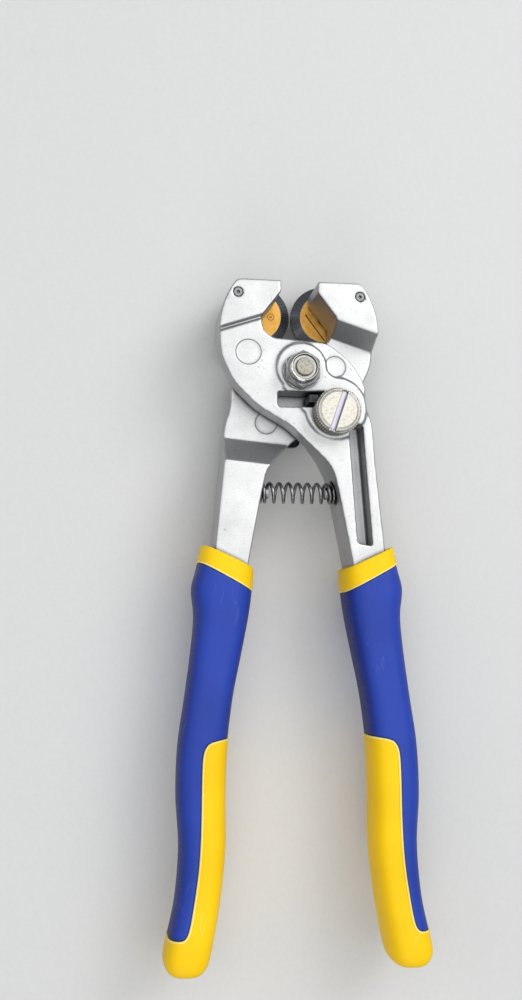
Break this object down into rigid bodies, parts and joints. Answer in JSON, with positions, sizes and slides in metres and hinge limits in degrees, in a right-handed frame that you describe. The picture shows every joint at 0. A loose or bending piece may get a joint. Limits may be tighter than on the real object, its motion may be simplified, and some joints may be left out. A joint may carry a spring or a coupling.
{
  "type": "tile nippers",
  "caption": "Hand nippers for glass tile: two lapped cast levers, round cutting wheels, return spring, thickness lock, depth guide and two-colour rubber grips.",
  "frame": {"origin": "centre of the outer end face of the pivot bolt, above the nut", "axes": "+Y from the handles to the jaws, +Z from the wheel side to the knob side along the pivot, +X towards the jaw of lever B"},
  "size_m": [0.0882, 0.2318, 0.039],
  "materials": {
    "cast": "satin die-cast, fine grain",
    "steel": "plated steel",
    "dark_steel": "black oxide steel",
    "bush": "sintered bronze",
    "nylon": "natural nylon",
    "wheel": "gold nitride coating, ground grey rim",
    "knob": "turned, fine knurl",
    "spring": "spring wire",
    "grip_blue": "soft satin rubber",
    "grip_yellow": "soft satin rubber"
  },
  "bodies": {
    "lever_a_body": {"lever_a": "cast", "jaw_set_screw_a": "dark_steel", "pivot_bolt": "steel", "pivot_bush": "bush", "nut_washer": "steel", "pivot_nut": "steel", "nut_insert": "nylon", "wheel_screw_a": "dark_steel", "wheel_washer_a": "steel", "knob_washer": "spring", "return_spring": "spring", "spring_peg_a": "steel", "grip_collar_a": "grip_yellow", "grip_a": "grip_blue", "grip_pad_a": "grip_yellow"},
    "lever_b_body": {"lever_b": "cast", "jaw_set_screw_b": "dark_steel", "stop_lug": "dark_steel", "wheel_screw_b": "dark_steel", "wheel_washer_b": "steel", "spring_peg_b": "steel", "grip_collar_b": "grip_yellow", "grip_b": "grip_blue", "grip_pad_b": "grip_yellow"},
    "wheel_a_body": {"cutting_wheel_a": "wheel"},
    "wheel_b_body": {"cutting_wheel_b": "wheel"},
    "lock_body": {"lock_knob": "knob", "lock_cam": "steel", "lock_clip": "dark_steel"},
    "guide_body": {"depth_guide": "dark_steel"},
    "guide_screw_body": {"guide_screw": "steel", "guide_washer": "steel"}
  },
  "joints": [
    {"name": "lever_pivot", "type": "hinge", "parent": "lever_a_body", "child": "lever_b_body", "pos_m": [0, 0, -0.0185], "axis": [0, 0, -1], "range_deg": [-1.1, 19], "deforming": ["return_spring"]},
    {"name": "wheel_a_turn", "type": "hinge", "parent": "lever_a_body", "child": "wheel_a_body", "pos_m": [-0.0123, 0.0244, -0.0304], "axis": [0, 0, 1], "continuous": true},
    {"name": "wheel_b_turn", "type": "hinge", "parent": "lever_b_body", "child": "wheel_b_body", "pos_m": [0.0123, 0.0244, -0.0304], "axis": [0, 0, 1], "continuous": true},
    {"name": "lock_turn", "type": "hinge", "parent": "lever_a_body", "child": "lock_body", "pos_m": [0.0116, -0.014, -0.0075], "axis": [0, 0, 1], "range_deg": [0, 240]},
    {"name": "guide_slide", "type": "slide", "parent": "lever_b_body", "child": "guide_body", "axis": [0, 1, 0], "range_m": [-0.004, 0.003]},
    {"name": "guide_screw_turn", "type": "hinge", "parent": "lever_b_body", "child": "guide_screw_body", "pos_m": [0, -0.0145, -0.0355], "axis": [0, 0, 1], "range_deg": [0, 270]}
  ]
}
